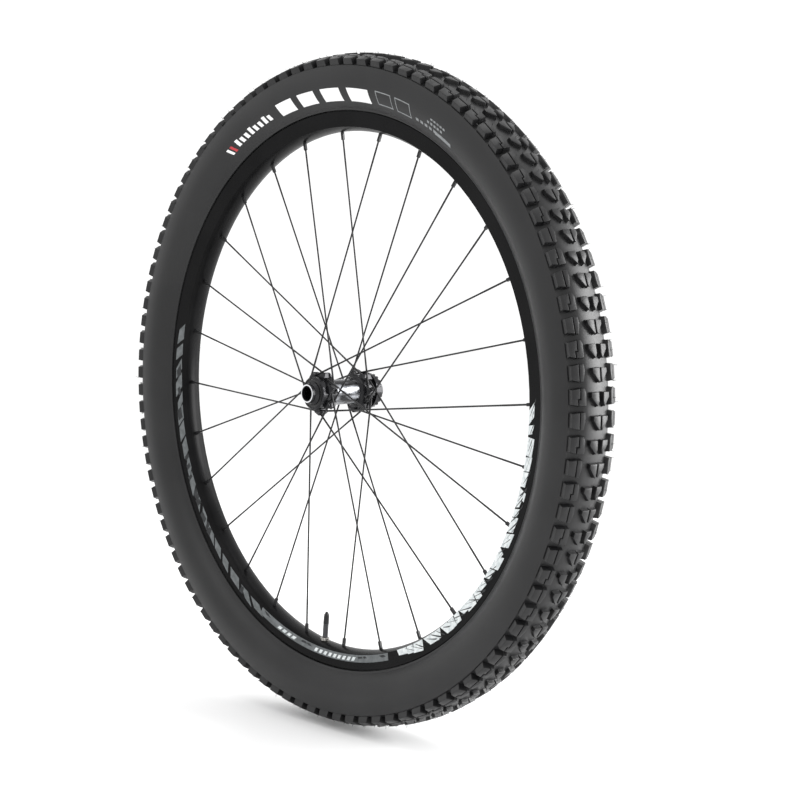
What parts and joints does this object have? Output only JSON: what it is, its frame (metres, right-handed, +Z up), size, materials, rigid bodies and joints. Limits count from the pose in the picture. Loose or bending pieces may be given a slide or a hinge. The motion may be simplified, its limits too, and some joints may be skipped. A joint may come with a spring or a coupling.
{
  "type": "bicycle front wheel",
  "caption": "Mountain-bike front wheel: knobbly tyre on a black box-section rim, thin crossed spokes, disc-brake hub with a through-axle bore, and a capped valve.",
  "frame": {"origin": "the wheel's centre, on its axle's axis, half way between the fork's faces and on the rim's middle plane", "axes": "+Y along the axle towards the disc-brake side (the wheel's left), +X forward, +Z up"},
  "size_m": [0.7158, 0.1, 0.7158],
  "materials": {
    "tyre_rubber": "matt, fine moulded texture",
    "tube_rubber": "matt",
    "rim_tape": "matt",
    "rim_anodised": null,
    "hub_anodised": "black polished anodised",
    "axle_aluminium": "satin machined",
    "end_cap_machined": "bright machined",
    "spoke_black": "black satin",
    "nipple_black": "black anodised",
    "bearing_steel": "ground",
    "bearing_cage": "matt",
    "seal_rubber": "matt",
    "valve_black": "black satin",
    "valve_nut": "satin nickel",
    "valve_brass": "satin",
    "valve_cap": "black, moulded"
  },
  "bodies": {
    "axle": {"axle_tube": "axle_aluminium", "right_end_cap": "end_cap_machined", "right_bearing_inner_race": "bearing_steel", "right_end_cap_o_ring": "seal_rubber", "right_dust_seal": "seal_rubber", "left_end_cap": "end_cap_machined", "left_bearing_inner_race": "bearing_steel", "left_end_cap_o_ring": "seal_rubber", "left_dust_seal": "seal_rubber"},
    "wheel": {"tyre": "tyre_rubber", "inner_tube": "tube_rubber", "rim_tape": "rim_tape", "rim": "rim_anodised", "hub_shell": "hub_anodised", "valve_stem": "valve_black", "valve_lock_nut": "valve_nut", "valve_core_body": "valve_brass", "right_leading_spokes": "spoke_black", "right_leading_nipples": "nipple_black", "right_trailing_spokes": "spoke_black", "right_trailing_nipples": "nipple_black", "left_leading_spokes": "spoke_black", "left_leading_nipples": "nipple_black", "left_trailing_spokes": "spoke_black", "left_trailing_nipples": "nipple_black", "right_bearing_outer_race": "bearing_steel", "right_bearing_seals": "seal_rubber", "left_bearing_outer_race": "bearing_steel", "left_bearing_seals": "seal_rubber"},
    "right_ball_set": {"right_bearing_balls": "bearing_steel", "right_bearing_cage": "bearing_cage"},
    "left_ball_set": {"left_bearing_balls": "bearing_steel", "left_bearing_cage": "bearing_cage"},
    "cap": {"valve_cap": "valve_cap"},
    "core_pin": {"valve_core_pin": "valve_brass"},
    "core_nut": {"valve_core_nut": "valve_brass"}
  },
  "joints": [
    {"name": "wheel_spin", "type": "hinge", "parent": "axle", "child": "wheel", "pos_m": [0, 0, 0], "axis": [0, 1, 0], "continuous": true},
    {"name": "right_ball_set_spin", "type": "hinge", "parent": "axle", "child": "right_ball_set", "pos_m": [0, -0.0365, 0], "axis": [0, 1, 0], "continuous": true},
    {"name": "left_ball_set_spin", "type": "hinge", "parent": "axle", "child": "left_ball_set", "pos_m": [0, 0.0365, 0], "axis": [0, 1, 0], "continuous": true},
    {"name": "valve_cap_pull", "type": "slide", "parent": "wheel", "child": "cap", "axis": [0.1115, 0, 0.9938], "range_m": [0, 0.025]},
    {"name": "valve_core_nut_travel", "type": "slide", "parent": "wheel", "child": "core_nut", "axis": [0.1115, 0, 0.9938], "range_m": [0, 0.0022]},
    {"name": "valve_core_pin_press", "type": "slide", "parent": "wheel", "child": "core_pin", "axis": [-0.1115, 0, -0.9938], "range_m": [0, 0.002], "stiffness_N_per_m": 150, "springref_m": -0.001}
  ],
  "couplings": [
    {"joint": "right_ball_set_spin", "follows": "wheel_spin", "ratio": 0.60128},
    {"joint": "left_ball_set_spin", "follows": "wheel_spin", "ratio": 0.60128}
  ]
}
